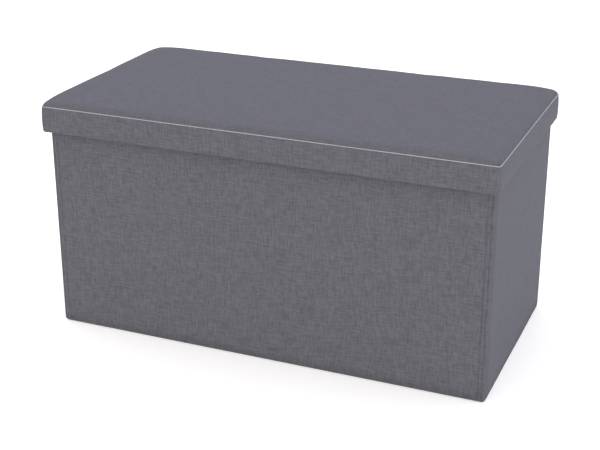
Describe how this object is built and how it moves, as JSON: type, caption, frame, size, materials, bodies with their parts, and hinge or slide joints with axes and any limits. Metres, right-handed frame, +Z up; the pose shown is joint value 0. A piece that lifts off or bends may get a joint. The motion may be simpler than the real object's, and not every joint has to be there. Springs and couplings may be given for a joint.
{
  "type": "storage bench",
  "caption": "Long fabric-covered storage bench: an open box with a hinged floor panel and a padded seat lid that lifts straight off.",
  "frame": {"origin": "centre of the bench's footprint, on the ground it stands on", "axes": "+X along the length, +Y from the front wall to the back wall, +Z up"},
  "size_m": [0.764, 0.4, 0.401],
  "materials": {
    "linen_fabric": "grey melange linen-look weave, matt",
    "piping_cord": "pale grey twisted piping, matt",
    "non_woven_lining": "dark grey point-bonded non-woven, matt",
    "woven_tape": "dark woven tape, matt",
    "fibreboard": "raw pressed fibreboard",
    "seat_foam": "cream upholstery foam"
  },
  "bodies": {
    "bench_body": {"wall_board_front": "fibreboard", "wall_board_back": "fibreboard", "end_board_left_front": "fibreboard", "end_board_left_rear": "fibreboard", "end_board_right_front": "fibreboard", "end_board_right_rear": "fibreboard", "wall_cover_front": "linen_fabric", "wall_cover_back": "linen_fabric", "wall_cover_left": "linen_fabric", "wall_cover_right": "linen_fabric", "wall_lining_front": "non_woven_lining", "wall_lining_back": "non_woven_lining", "wall_lining_left": "non_woven_lining", "wall_lining_right": "non_woven_lining", "corner_seam_front_left": "linen_fabric", "corner_seam_back_left": "linen_fabric", "corner_seam_front_right": "linen_fabric", "corner_seam_back_right": "linen_fabric", "wall_rim_facing": "linen_fabric", "base_fabric": "non_woven_lining", "floor_hinge_tape": "woven_tape"},
    "lid": {"lid_board": "fibreboard", "lid_foam": "seat_foam", "lid_top_cover": "linen_fabric", "lid_seam_piping": "piping_cord", "lid_skirt_cover": "linen_fabric", "lid_lining": "non_woven_lining", "skirt_board_front": "fibreboard", "skirt_board_back": "fibreboard", "skirt_board_left": "fibreboard", "skirt_board_right": "fibreboard", "skirt_lining_front": "non_woven_lining", "skirt_lining_back": "non_woven_lining", "skirt_lining_left": "non_woven_lining", "skirt_lining_right": "non_woven_lining"},
    "floor_panel": {"floor_backing": "non_woven_lining", "floor_board": "fibreboard", "floor_cover": "non_woven_lining", "floor_pull_ribbon": "woven_tape"}
  },
  "joints": [
    {"name": "lid_lift", "type": "slide", "parent": "bench_body", "child": "lid", "axis": [0, 0, 1], "range_m": [0, 0.3]},
    {"name": "floor_panel_hinge", "type": "hinge", "parent": "bench_body", "child": "floor_panel", "pos_m": [0, 0.1712, 0.0085], "axis": [-1, 0, 0], "range_deg": [0, 90]}
  ]
}
